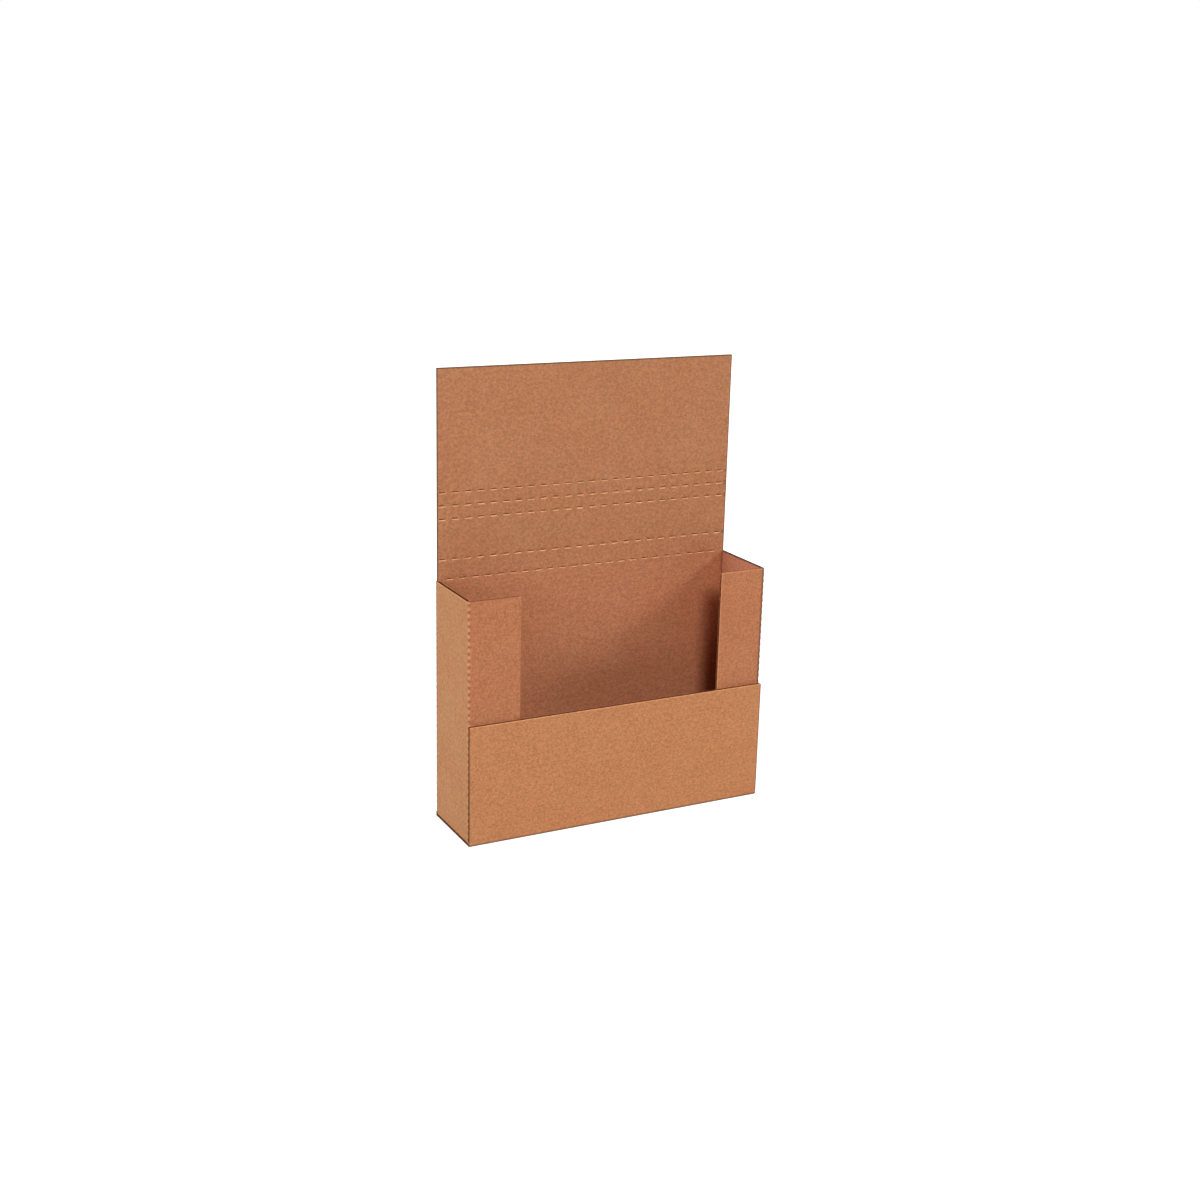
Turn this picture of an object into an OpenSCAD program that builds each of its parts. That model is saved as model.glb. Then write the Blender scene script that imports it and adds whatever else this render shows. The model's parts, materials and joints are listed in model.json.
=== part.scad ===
// Corrugated mailer box, folded from one sheet of board and standing on its bottom wall.
// The lid is unfolded and stands straight up from the back panel. The front flap is folded up.
// X runs along the width, Y from the front to the back, Z up. The origin is the middle of the
// footprint, on the surface that the box stands on. All flutes run level, along the blank's width.

/* [Box] */
// Outside width, across the two side walls
box_w = 314; // [220:1:420]
// Outside depth, from the front flap's face to the back panel's face
box_d = 82.5; // [60:0.5:140]
// Height of the side walls' top edges above the ground
wall_h = 236.5; // [180:0.5:320]
// Height of the front flap's top edge above the ground
front_flap_h = 118.4; // [60:0.2:160]
// Length of the left side flap behind the front flap, from the left wall's face
left_flap_len = 52; // [30:0.5:90]
// Length of the right side flap behind the front flap, from the right wall's face
right_flap_len = 49.5; // [30:0.5:90]

/* [Lid] */
// How far the lid's fold lies above the side walls, so that the closed lid clears them
lid_rise = 1.2; // [0.6:0.1:4]
// Length of the lid's top panel, from the lid's fold to the fold of its front panel
lid_top_len = 82.5; // [75:0.5:140]
// Length of the lid's front panel, from its fold to its free edge
lid_front_len = 115.1; // [60:0.1:160]
// How far each side edge of the lid lies inside the side wall's face
lid_inset = 1.5; // [1:0.1:4]
// Height above the lid's fold of the score line for a load that stands proud
raised_score = 19.1; // [12:0.1:30]
// Distance from the front panel's fold back to the score line for the middle depth
middle_score = 12.4; // [8:0.1:16]
// Distance from the front panel's fold back to the score line for the least depth
shallow_score = 25; // [20:0.1:32]

/* [Perforations] */
// Length of one cut
cut_len = 6.2; // [3:0.1:8]
// Width of one cut
cut_w = 0.8; // [0.4:0.1:1.5]
// Distance from one cut to the next
cut_pitch = 12.95; // [10:0.05:20]
// Bare stretch at each end of the lid's fold
fold_margin = 9.3; // [4:0.1:14]
// Bare stretch at each end of the score lines on the lid
score_margin = 1.4; // [1:0.1:6]

/* [Board] */
// Thickness of the board
board_t = 3; // [2.6:0.1:4]
// Thickness of each of the two liners
liner_t = 0.35; // [0.25:0.05:0.45]
// Thickness of the fluted paper between the liners
flute_t = 0.25; // [0.2:0.05:0.35]
// Distance from one flute to the next
flute_pitch = 6.5; // [6:0.1:8.5]
// Half width of a flute's flat tip, where it is glued to a liner
flute_tip = 0.6; // [0.5:0.05:0.7]

/* [Folds] */
// Thickness of the board where a crease has crushed it
crease_t = 1.2; // [0.8:0.1:1.6]
// Outside radius of a folded corner
crease_r = 2; // [1.7:0.1:3]
// Length over which the board swells from the crease to its full thickness
crease_run = 2.5; // [1.5:0.1:4]
// Depth of the dent that an upright crease has at each flute, which makes the fold look serrated
dent_depth = 0.5; // [0.2:0.05:0.6]
// Radius of each of those dents
dent_r = 6; // [4:0.5:8]
// Radius of the bead along the front flap's fold
bead_r = 0.6; // [0.4:0.05:0.8]
// Length of crushed board next to the front flap's fold
mitre_run = 5.5; // [5:0.1:8]

/* [Clearances] */
// Gap between two panels that turn on each other
hinge_gap = 0.12; // [0.08:0.01:0.2]
// Slit between the bottom wall and the edges of the walls and flaps that stand on it
slit = 0.3; // [0.2:0.05:0.6]
// Gap between the side flaps and the front flap
flap_gap = 0.25; // [0.15:0.05:0.6]

/* [Hidden] */
$fn = 48;
// Amount by which a cutting shape reaches past what it cuts
past = 1;
// The board's flute legs lean by about 45 degrees, which makes them this much thicker level
lean = 1.4;
front_y = -box_d / 2;
back_y = box_d / 2;
inner_back_y = back_y - board_t;
fold_z = wall_h + lid_rise;
front_fold_z = fold_z + lid_top_len;
lid_w = box_w - 2 * lid_inset;
// Reach of a crease along each of the two panels that it joins
corner = crease_r + crease_run;
// Length over which a crease's solid board and a panel's hollow board run into each other
seam = liner_t / 4;
// Lower edge of the walls and flaps that stand on the bottom wall
stand_z = board_t + slit;
// Outside face of the side flaps
flap_y = front_y + board_t + flap_gap;
kraft = "#b57f55";
kraft_light = "#bd875b";
kraft_lid = "#b98457";

// One hollow between two flute legs, open towards the liner at +x, with its middle at y = 0
module hollow() {
    reach = board_t / 2 - liner_t;
    leg_x = reach - flute_t;
    leg_y = flute_pitch / 2 - flute_tip - flute_t * lean;
    spread = (leg_y - flute_tip) / (2 * leg_x);
    mouth = leg_y + flute_t * spread;
    polygon([[-leg_x, -flute_tip], [reach, -mouth], [reach, mouth], [-leg_x, flute_tip]]);
}

// All hollows of a strip of board that fills x 0 to board_t and y 0 to rise, with the middle of
// one hollow at y = open_y
module hollows(rise, open_y) {
    step = flute_pitch / 2;
    first = ceil((-step - open_y) / step);
    last = floor((rise + step - open_y) / step);
    for (i = [first:last])
        translate([board_t / 2, open_y + i * step])
            mirror([abs(i) % 2, 0])
                hollow();
}

// Section through a strip of board, across its flutes
module section(rise, open_y) {
    difference() {
        square([board_t, rise]);
        hollows(rise, open_y);
    }
}

// Upright panel that runs along +X from x = 0, with its back at y = board_t
module panel(run, rise, open_y) {
    rotate([90, 0, 90])
        linear_extrude(run)
            section(rise, open_y);
}

// Section through a crushed and folded corner, whose sharp outside corner would be at 0, 0
module crease_section() {
    bend = crease_r - crease_t;
    end = corner + seam;
    intersection() {
        translate([crease_r, crease_r])
            difference() {
                circle(crease_r);
                circle(bend);
            }
        square(crease_r);
    }
    polygon([[crease_r, 0], [end, 0], [end, board_t], [corner, board_t], [crease_r, crease_t]]);
    polygon([[0, crease_r], [crease_t, crease_r], [board_t, corner], [board_t, end], [0, end]]);
}

// Row of dents in the outside of an upright crease, one for each flute below the wall's top edge
module dents(low) {
    away = crease_r + dent_r - dent_depth;
    for (i = [1:floor((wall_h - low) / flute_pitch)])
        translate([crease_r, crease_r, wall_h - (i - 0.5) * flute_pitch])
            rotate([90, 0, -135])
                translate([away, 0, 0])
                    cylinder(h = 3 * crease_r, r = dent_r, center = true);
}

// Upright folded corner with its outside corner on the Z axis and its panels along +X and +Y
module upright_crease(low, high) {
    difference() {
        translate([0, 0, low])
            linear_extrude(high - low)
                crease_section();
        dents(low);
    }
}

// Row of perforation cuts through an upright panel, centred at height z
module cuts(z, margin) {
    count = floor((lid_w - 2 * margin - cut_len) / cut_pitch) + 1;
    for (i = [0:count - 1])
        translate([-lid_w / 2 + margin + i * cut_pitch, inner_back_y - past, z - cut_w / 2])
            cube([cut_len, board_t + 2 * past, cut_w]);
}

module back_panel() {
    low = corner;
    translate([-box_w / 2 + corner, inner_back_y, low])
        panel(box_w - 2 * corner, fold_z - hinge_gap / 2 - low, wall_h - low);
}

// Left wing of the blank: the side wall, its two upright creases and the side flap
module wing(flap_len) {
    rise = wall_h - stand_z;
    // the crease next to the back panel
    translate([-box_w / 2, back_y])
        mirror([0, 1, 0])
            upright_crease(corner, fold_z - hinge_gap / 2);
    // the wall itself, between its two creases
    translate([-box_w / 2 + board_t, flap_y + corner, stand_z])
        rotate([0, 0, 90])
            panel(back_y - flap_y - 2 * corner, rise, rise);
    // the crease next to the side flap
    translate([-box_w / 2, flap_y])
        upright_crease(stand_z, wall_h);
    // the side flap
    translate([-box_w / 2 + corner, flap_y, stand_z])
        panel(flap_len - corner, rise, rise);
}

// Section through the bottom wall in the Y and Z directions, from the front flap's fold to the
// crease at the back
module bottom_section() {
    end_y = box_d - corner;
    gap = hinge_gap * sqrt(2) / 2;
    difference() {
        polygon([[bead_r, 0], [end_y, 0], [end_y, board_t], [board_t + gap, board_t],
            [bead_r + gap, bead_r]]);
        intersection() {
            translate([0, board_t])
                rotate(-90)
                    hollows(box_d, mitre_run);
            translate([mitre_run, 0])
                square([box_d, board_t]);
        }
    }
    translate([bead_r, bead_r])
        circle(bead_r);
}

module bottom_wall() {
    translate([-box_w / 2, front_y, 0])
        rotate([90, 0, 90])
            linear_extrude(box_w)
                bottom_section();
    // the crease that joins it to the back panel
    translate([-lid_w / 2, back_y, 0])
        rotate([90, 0, 90])
            linear_extrude(lid_w)
                mirror([1, 0])
                    crease_section();
    // the square corner left free at each end of that crease
    for (side = [0, 1])
        mirror([side, 0, 0])
            translate([-box_w / 2, back_y - corner - seam, 0])
                cube([lid_inset, corner - slit + seam, board_t]);
}

module box_body() {
    color(kraft) {
        difference() {
            back_panel();
            cuts(fold_z, fold_margin);
        }
        wing(left_flap_len);
        mirror([1, 0, 0])
            wing(right_flap_len);
        bottom_wall();
    }
}

// Section through the front flap in the Y and Z directions, mitred next to its fold
module front_flap_section() {
    gap = hinge_gap * sqrt(2) / 2;
    foot = 2 * bead_r + hinge_gap;
    difference() {
        polygon([[0, foot], [foot - gap, foot], [board_t, board_t + gap],
            [board_t, front_flap_h], [0, front_flap_h]]);
        intersection() {
            hollows(front_flap_h, front_flap_h);
            translate([0, mitre_run])
                square([board_t, front_flap_h]);
        }
    }
}

module front_flap() {
    color(kraft_light)
        translate([-box_w / 2, front_y, 0])
            rotate([90, 0, 90])
                linear_extrude(box_w)
                    front_flap_section();
}

// Panel of the lid between two heights above the ground
module lid_panel(low, high) {
    translate([-lid_w / 2, inner_back_y, low])
        panel(lid_w, high - low, wall_h - low);
}

module lid_top() {
    color(kraft_lid)
        difference() {
            lid_panel(fold_z + hinge_gap / 2, front_fold_z - hinge_gap / 2);
            cuts(fold_z, fold_margin);
            cuts(fold_z + raised_score, score_margin);
            cuts(front_fold_z - shallow_score, score_margin);
            cuts(front_fold_z - middle_score, score_margin);
            cuts(front_fold_z, score_margin);
        }
}

module lid_front() {
    color(kraft_lid)
        difference() {
            lid_panel(front_fold_z + hinge_gap / 2, front_fold_z + lid_front_len);
            cuts(front_fold_z, score_margin);
        }
}

box_body();
front_flap();
lid_top();
lid_front();
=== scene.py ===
"""Corrugated mailer box, folded from one sheet of single-wall board and standing open.

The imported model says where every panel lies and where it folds. This script builds the board there
as paper: two liners with a fluted sheet glued between them, creases crushed round the corners,
perforated score lines, and cut edges that show the flutes. Lengths are in metres.
"""

import json
import logging
import math
from dataclasses import dataclass
from enum import IntEnum
from typing import Any

import bmesh
import bpy
import numpy as np
from mathutils import Matrix, Vector

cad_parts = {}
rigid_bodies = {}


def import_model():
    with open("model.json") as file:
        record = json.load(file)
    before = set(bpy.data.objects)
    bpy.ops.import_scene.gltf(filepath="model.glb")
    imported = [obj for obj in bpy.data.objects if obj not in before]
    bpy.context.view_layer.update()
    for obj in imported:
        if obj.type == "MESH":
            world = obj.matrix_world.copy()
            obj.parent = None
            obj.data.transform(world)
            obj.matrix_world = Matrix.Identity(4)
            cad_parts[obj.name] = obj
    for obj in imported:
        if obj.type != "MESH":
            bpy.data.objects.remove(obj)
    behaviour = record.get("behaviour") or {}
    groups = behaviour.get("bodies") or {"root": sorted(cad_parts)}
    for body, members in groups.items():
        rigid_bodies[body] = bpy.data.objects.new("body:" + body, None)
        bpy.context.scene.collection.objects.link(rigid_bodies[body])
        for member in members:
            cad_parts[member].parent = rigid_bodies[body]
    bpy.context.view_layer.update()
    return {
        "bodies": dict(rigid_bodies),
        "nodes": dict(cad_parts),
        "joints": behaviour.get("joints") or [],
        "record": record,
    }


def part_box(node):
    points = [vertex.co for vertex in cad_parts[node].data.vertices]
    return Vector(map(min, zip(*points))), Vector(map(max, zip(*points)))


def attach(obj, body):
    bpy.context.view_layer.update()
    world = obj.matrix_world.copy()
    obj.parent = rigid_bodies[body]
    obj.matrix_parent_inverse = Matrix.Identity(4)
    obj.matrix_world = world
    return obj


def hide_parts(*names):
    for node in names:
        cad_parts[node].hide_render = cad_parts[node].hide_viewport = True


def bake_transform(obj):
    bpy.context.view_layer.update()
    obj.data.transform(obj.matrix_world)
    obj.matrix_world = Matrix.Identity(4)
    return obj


MM = 0.001
TINY = 1e-6
TINT = "paper_tint"
KIND = "kind"
LOG = logging.getLogger("mailer_box")
# Shares of its run at which a rounded edge and the swelling board beside a crease have points
ROUND_STEPS = np.array([0, 0.3, 0.6, 1])
SWELL_STEPS = np.array([0, 0.2, 0.45, 0.7, 1])
# How folded the board just beside a folded corner is, where the middle of the corner is 1
FLANK_FOLD = 0.3
# How straight a panel has to face one way, as a cosine, to count as facing it
FACING = 0.9

Color = tuple[float, float, float]
Socket = bpy.types.NodeSocket


def smooth(share: Any) -> Any:
    """Eases a share in and out between 0 and 1."""
    share = np.clip(share, 0, 1)
    return share * share * (3 - 2 * share)


def lattice(x: Any, y: Any, z: Any) -> np.ndarray:
    """Grid of points from coordinates that broadcast together."""
    return np.stack(np.broadcast_arrays(x, y, z), axis=-1)


def toward(azimuth: float, elevation: float) -> Vector:
    """Direction from the box to what stands at an azimuth and an elevation, in degrees."""
    turn, rise = math.radians(azimuth), math.radians(elevation)
    return Vector((-math.sin(turn) * math.cos(rise), -math.cos(turn) * math.cos(rise), math.sin(rise)))


class Face(IntEnum):
    """The kinds of surface that the folded sheet shows."""

    OUTSIDE = 0
    INSIDE = 1
    CUT = 2
    FLUTE = 3


@dataclass(frozen=True)
class Tones:
    """Tints of the paper: factors on its plain colour, or on its red, green and blue. Most of them paint
    light and shade into the colour.
    """

    # The panels: painted light, a tint for each panel for how the lamps and the light bounced inside the
    # box fall on it
    plain: Color = (1.0, 1.0, 1.0)
    inside: Color = (1.06, 1.01, 1.04)
    right_inside: Color = (1.03, 1.05, 1.24)
    lid: Color = (0.955, 0.99, 0.975)
    side_wall: Color = (0.866, 0.956, 1.02)
    side_flap: Color = (0.895, 0.80, 0.86)
    # Upright folds: painted shade in the dents, lighter ridges between them (rubbed paper and a painted
    # highlight), and painted shade on the board beside them
    dent_shade: Color = (0.3, 0.23, 0.19)
    rub_and_highlight: float = 1.28
    flank_shade: float = 0.5
    # The front flap's fold: painted shade on the outside where it turns under, and a slightly darker
    # inside face
    underside_shade: float = 0.28
    fold_inside_darker: float = 0.9
    # Perforations: the torn lip below, lighter as torn paper and with a painted highlight, painted shade
    # on the lip above, and painted shade in the slit seen from outside
    torn_lip_light: Color = (1.9, 2.15, 2.3)
    shade_above_cut: float = 0.9
    slit: float = 0.4
    # Liners where a flute is glued on, and the solid board inside a crease
    glued: float = 0.975
    core: float = 0.9
    # Cut edges: painted shade along them, and a painted highlight where cut_light is used
    cut_dark: float = 0.4
    cut_left: float = 0.85
    cut_right: float = 0.5
    cut_left_flap: float = 1.0
    cut_light: float = 1.35
    cut_tab: float = 0.3
    # The fluted sheet inside each panel: painted light and shade, a tint for how lit its open cut ends
    # look
    back_flutes: float = 1.0
    left_flutes: float = 0.6
    right_flutes: float = 0.8
    left_flap_flutes: float = 3.6
    right_flap_flutes: float = 1.2
    bottom_flutes: float = 1.2
    front_flutes: float = 0.5
    lid_flutes: float = 0.6
    # A painted highlight on its top edge in the right side flap, and how far down that reaches
    pale_top: float = 4.0
    pale_run: float = 2.5 * MM
    # How far from the lid's fold the tones of the lid and the box's inside run together
    fade: float = 40.0 * MM

    def near_fold(self, above: Any) -> np.ndarray:
        """Painted light of the lid and the box's inside: their two tints, run together near the lid's
        fold.

        Args:
            above: Height above the lid's fold, or an array of heights.

        Returns:
            The tint, with its colours along a last axis.
        """
        share = smooth((1 - np.asarray(above) / self.fade) / 2)[..., None]
        return np.array(self.lid) + (np.array(self.inside) - np.array(self.lid)) * share

    def ribbed(self, flute: np.ndarray) -> np.ndarray:
        """Tint of a liner, which is a little darker where a flute is glued on."""
        return 1 - (1 - self.glued) * (1 + flute) / 2


@dataclass(frozen=True)
class Board:
    """Single-wall corrugated board."""

    thickness: float
    liner: float = 0.35 * MM
    paper: float = 0.25 * MM
    pitch: float = 6.5 * MM
    washboard: float = 0.05 * MM
    crease: float = 1.2 * MM
    radius: float = 2.0 * MM
    swell: float = 2.5 * MM
    dent: float = 0.75 * MM
    rounding: float = 0.16 * MM
    rounding_run: float = 1.2 * MM
    samples: int = 6

    @property
    def corner(self) -> float:
        """Reach of a crease along each of the two panels that it joins."""
        return self.radius + self.swell

    @property
    def step(self) -> float:
        """Distance between a liner's points across the flutes."""
        return self.pitch / self.samples

    @property
    def rounded(self) -> np.ndarray:
        """Distances from a cut edge at which the liners have points."""
        return ROUND_STEPS * self.rounding_run

    def flute(self, place: np.ndarray, cut: float) -> np.ndarray:
        """Where the fluted sheet lies: 1 is at the outside liner and -1 at the inside one."""
        return -np.cos(2 * math.pi * (cut - place) / self.pitch)

    def painted_edge(self, distance: np.ndarray, tone: Any) -> np.ndarray:
        """Painted shade or highlight near a cut edge: the tint at a given distance from it, where the
        edge itself has the tone.
        """
        return 1 + (tone - 1) * np.clip(2 - 2 * distance / self.rounding_run, 0, 1)

    def closing(self, distance: np.ndarray) -> np.ndarray:
        """How far each face is pressed in at a given distance from a cut edge."""
        return self.rounding * np.clip(1 - distance / self.rounding_run, 0, 1) ** 2

    def faces(self, flute: Any, depth: Any, closing: Any) -> tuple[np.ndarray, np.ndarray]:
        """Depths of the outside and the inside face, on which the flutes show faintly."""
        ease = np.clip((depth - self.crease) / (self.thickness - self.crease), 0, 1) * self.washboard / 2
        return closing + (1 - flute) * ease, depth - closing - (1 + flute) * ease


@dataclass(frozen=True)
class BoxSizes:
    """Places of the box's panels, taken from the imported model. The front is towards -Y."""

    half_width: float
    half_lid: float
    front_y: float
    back_y: float
    inner_back_y: float
    lid_fold: float
    lid_front_fold: float
    lid_end: float
    front_flap_end: float
    lid_rise: float = 1.2 * MM
    slit: float = 0.3 * MM
    flap_gap: float = 0.25 * MM
    front_seam: float = 4.5 * MM
    left_flap: float = 52.0 * MM
    right_flap: float = 49.5 * MM

    @classmethod
    def from_frame(cls, frame: dict[str, Any]) -> "BoxSizes":
        """Reads the panels' places from the frame.


        Returns:
            The sizes that every sub-assembly is built from.
        """
        body_low, body_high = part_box("box_body")
        lid_low, lid_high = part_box("lid_front")
        flap_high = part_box("front_flap")[1]
        folds = {joint["name"]: joint["pos_m"] for joint in frame["joints"]}
        return cls(
            half_width=body_high.x,
            half_lid=lid_high.x,
            front_y=body_low.y,
            back_y=lid_high.y,
            inner_back_y=lid_low.y,
            lid_fold=folds["lid_fold"][2],
            lid_front_fold=folds["lid_front_fold"][2],
            lid_end=lid_high.z,
            front_flap_end=flap_high.z,
        )

    @property
    def thickness(self) -> float:
        """Thickness of the board."""
        return self.back_y - self.inner_back_y

    @property
    def flap_y(self) -> float:
        """Place of the side flaps' outside faces, behind the front flap."""
        return self.front_y + self.thickness + self.flap_gap

    @property
    def wall_top(self) -> float:
        """Height of the side walls' top edges."""
        return self.lid_fold - self.lid_rise

    @property
    def wall_foot(self) -> float:
        """Height of the lower edges of the walls and side flaps, just above the bottom wall."""
        return self.thickness + self.slit


class Signal:
    """A number that varies over a surface: a socket on which arithmetic adds Math nodes."""

    def __init__(self, tree: "NodeTree", socket: Socket) -> None:
        """Wraps a socket of a tree."""
        self.tree = tree
        self.socket = socket

    def _math(self, operation: str, first: Any, second: Any) -> "Signal":
        """Adds one Math node on two values."""
        values = {"Value": first, "Value_001": second}
        return Signal(self.tree, self.tree.out("ShaderNodeMath", values, operation=operation))

    def __add__(self, other: Any) -> "Signal":
        """Sum."""
        return self._math("ADD", self, other)

    def __sub__(self, other: Any) -> "Signal":
        """Difference."""
        return self._math("SUBTRACT", self, other)

    def __rsub__(self, other: Any) -> "Signal":
        """Difference from a number."""
        return self._math("SUBTRACT", other, self)

    def __mul__(self, other: Any) -> "Signal":
        """Product."""
        return self._math("MULTIPLY", self, other)

    def __gt__(self, other: Any) -> "Signal":
        """1 where the signal is above the other value, else 0."""
        return self._math("GREATER_THAN", self, other)

    __radd__ = __add__
    __rmul__ = __mul__

    def above(self, level: float) -> "Signal":
        """How far the signal rises above a level, and 0 where it doesn't."""
        return self._math("MAXIMUM", self - level, 0.0)

    def cosine(self) -> "Signal":
        """Cosine of the signal, in radians."""
        return self._math("COSINE", self, 0.0)


class NodeTree:
    """A node tree under construction, for a material, the world or geometry."""

    def __init__(self, tree: bpy.types.NodeTree) -> None:
        """Wraps a tree."""
        self.tree = tree

    @classmethod
    def of(cls, owner: Any) -> "NodeTree":
        """Turns on and clears the nodes of a material or a world."""
        owner.use_nodes = True
        owner.node_tree.nodes.clear()
        return cls(owner.node_tree)

    def feed(self, node: bpy.types.Node, values: dict[str, Any]) -> None:
        """Sets or links sockets of a node.

        Args:
            node: The node.
            values: Values or links, by the socket's identifier. A list of sockets links them all
                to one socket that takes several.
        """
        sockets = {socket.identifier: socket for socket in node.inputs}
        for name, value in values.items():
            for one in value if isinstance(value, list) else [value]:
                source = one.socket if isinstance(one, Signal) else one
                if isinstance(source, Socket):
                    self.tree.links.new(source, sockets[name])
                else:
                    sockets[name].default_value = source

    def node(self, kind: str, values: dict[str, Any] | None = None, **settings: Any) -> bpy.types.Node:
        """Adds a node.

        Args:
            kind: The node's type.
            values: Values or links of its sockets, as feed() takes them.
            **settings: Properties that are set first, such as a Math node's operation.

        Returns:
            The node.
        """
        made = self.tree.nodes.new(kind)
        for name, value in settings.items():
            setattr(made, name, value)
        self.feed(made, values or {})
        return made

    def out(
        self, kind: str, values: dict[str, Any] | None = None, output: str = "", **settings: Any
    ) -> Socket:
        """Adds a node and gives its first output, or the one whose identifier is output."""
        made = self.node(kind, values, **settings)
        return next(one for one in made.outputs if output in ("", one.identifier))

    def scaled(self, vector: Socket, factor: Any) -> Socket:
        """A vector or a colour times a number."""
        return self.out("ShaderNodeVectorMath", {"Vector": vector, "Scale": factor}, operation="SCALE")


@dataclass(frozen=True)
class KraftPaper:
    """Brown kraft paper, unprinted and matt.

    The fibres lie across the flutes, so on the upright panels they run up and down. Each noise has
    its cycles per metre along the three axes and its detail.
    """

    name: str
    color: Color
    cloud: float = 0.12
    mottle: float = 1.05
    fibre: float = 0.45
    fleck: float = 1.3
    sparse: float = 0.17
    relief: float = 0.05 * MM
    roughness: float = 0.92
    sheen: float = 0.25
    warm: Color = (1.02, 0.97, 0.95)
    cool: Color = (0.98, 1.03, 1.05)
    noises: tuple[tuple[Color, float], ...] = (
        ((24, 24, 24), 2.0), ((430, 430, 560), 3.0), ((2300, 2300, 420), 2.0),
        ((520, 520, 2600), 1.0), ((1300, 1300, 900), 1.0),
    )

    def build(self) -> bpy.types.Material:
        """Makes the material."""
        material = bpy.data.materials.new(self.name)
        material.use_nodes = True
        tree = NodeTree(material.node_tree)
        place = tree.out("ShaderNodeTexCoord", output="Object")

        def grain(scale: Color, detail: float) -> Signal:
            """Noise that is centred on zero."""
            stretched = tree.out("ShaderNodeMapping", {"Vector": place, "Scale": scale})
            values = {"Vector": stretched, "Scale": 1.0, "Detail": detail, "Roughness": 0.6}
            return Signal(tree, tree.out("ShaderNodeTexNoise", values)) - 0.5

        clouds, mottling, fibres, crossing, flecks = (grain(*noise) for noise in self.noises)
        lightness = (
            1.0 + clouds * self.cloud + mottling * self.mottle + fibres * self.fibre
            - flecks.above(self.sparse) * self.fleck + crossing.above(self.sparse) * self.fleck
        )
        ends = {
            name: (*np.multiply(self.color, shift).tolist(), 1)
            for name, shift in (("A_Color", self.warm), ("B_Color", self.cool))
        }
        ends["Factor_Float"] = clouds * 1.5 + mottling * 0.8 + 0.5
        paper = tree.out("ShaderNodeMix", ends, "Result_Color", data_type="RGBA")
        tint = tree.out("ShaderNodeAttribute", output="Color", attribute_name=TINT)
        values = {"Vector": paper, "Vector_001": tint}
        tinted = tree.out("ShaderNodeVectorMath", values, operation="MULTIPLY")
        height = fibres * 0.7 + crossing * 0.3 + mottling * 0.6
        values = {"Strength": 0.7, "Distance": self.relief, "Height": height}
        shader = {
            "Base Color": tree.scaled(tinted, lightness.above(0.0)),
            "Normal": tree.out("ShaderNodeBump", values),
            "Roughness": self.roughness, "Specular IOR Level": self.sheen,
        }
        tree.feed(material.node_tree.nodes["Principled BSDF"], shader)
        return material


Papers = dict[Face, bpy.types.Material]
PAPERS = {
    Face.OUTSIDE: KraftPaper("kraft_outside", (0.579, 0.245, 0.104)),
    Face.INSIDE: KraftPaper("kraft_inside", (0.505, 0.203, 0.095)),
    # The cut edges are darker than the liners: the raw cut, and painted shade of the cut. The fluted
    # sheet is far darker than its kraft: painted shade in the flutes' hollows.
    Face.CUT: KraftPaper(
        "kraft_cut_edge", (0.32, 0.14, 0.065), mottle=0.8, relief=0.1 * MM, sheen=0.05
    ),
    Face.FLUTE: KraftPaper(
        "kraft_fluted", (0.12, 0.042, 0.018), mottle=0.7, relief=0.1 * MM, sheen=0.05
    ),
}


@dataclass
class Stations:
    """Places along a course of board: arrays with one row for each station."""

    place: np.ndarray
    inward: np.ndarray
    depth: np.ndarray
    fold: np.ndarray
    edge: np.ndarray


@dataclass(frozen=True)
class Course:
    """The line that the board's outside face follows in a section of the box.

    The points are its sharp corners. side is 1 where the box's inside lies to the left of the
    course and -1 where it lies to the right. step is the spacing of the stations on flat board.
    """

    points: tuple[tuple[float, float], ...]
    side: int
    free_start: bool = False
    free_end: bool = False
    step: float = 0.0

    def _leg(self, board: Board, index: int, length: float) -> np.ndarray:
        """Works out where one leg has stations.

        Args:
            board: The board that follows the course.
            index: The leg's number.
            length: Its length.

        Returns:
            Distances from the leg's start.
        """
        near = far = board.radius + SWELL_STEPS * board.swell
        if index == 0:
            near = board.rounded if self.free_start else np.zeros(1)
        if index == len(self.points) - 2:
            far = board.rounded if self.free_end else np.zeros(1)
        far = length - far
        flat = np.array([])
        if self.step:
            flat = np.arange(near.max() + self.step, far.min() - self.step / 2, self.step)
        return np.unique(np.round(np.concatenate([near, flat, far]), 8))

    def stations(self, board: Board, arc_steps: int = 8) -> Stations:
        """Works out the stations.

        Args:
            board: The board that follows the course.
            arc_steps: Number of steps round each folded corner.

        Returns:
            The stations, from the start of the course to its end.
        """
        rows: list[tuple[Any, ...]] = []
        corners = [np.array(point) for point in self.points]
        last = len(corners) - 2
        for index in range(last + 1):
            start, end = corners[index], corners[index + 1]
            length = float(np.linalg.norm(end - start))
            along = (end - start) / length
            inward = self.side * np.array([-along[1], along[0]])
            for distance in self._leg(board, index, length):
                near = distance if index > 0 else math.inf
                far = length - distance if index < last else math.inf
                crush = smooth(1 - (min(near, far) - board.radius) / board.swell)
                depth = board.thickness - crush * (board.thickness - board.crease)
                edge = min(
                    distance if index == 0 and self.free_start else math.inf,
                    length - distance if index == last and self.free_end else math.inf,
                )
                rows.append((start + along * distance, inward, depth, FLANK_FOLD * crush**3, edge))
            if index < last:
                following = corners[index + 2] - end
                following = following / np.linalg.norm(following)
                middle = end + (following - along) * board.radius
                for angle in np.arange(1, arc_steps) / arc_steps * math.pi / 2:
                    turned = following * math.cos(angle) - along * math.sin(angle)
                    fold = FLANK_FOLD + (1 - FLANK_FOLD) * math.sin(2 * angle) ** 2
                    rows.append((middle - turned * board.radius, turned, board.crease, fold, math.inf))
        return Stations(*(np.array(column) for column in zip(*rows)))


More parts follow.
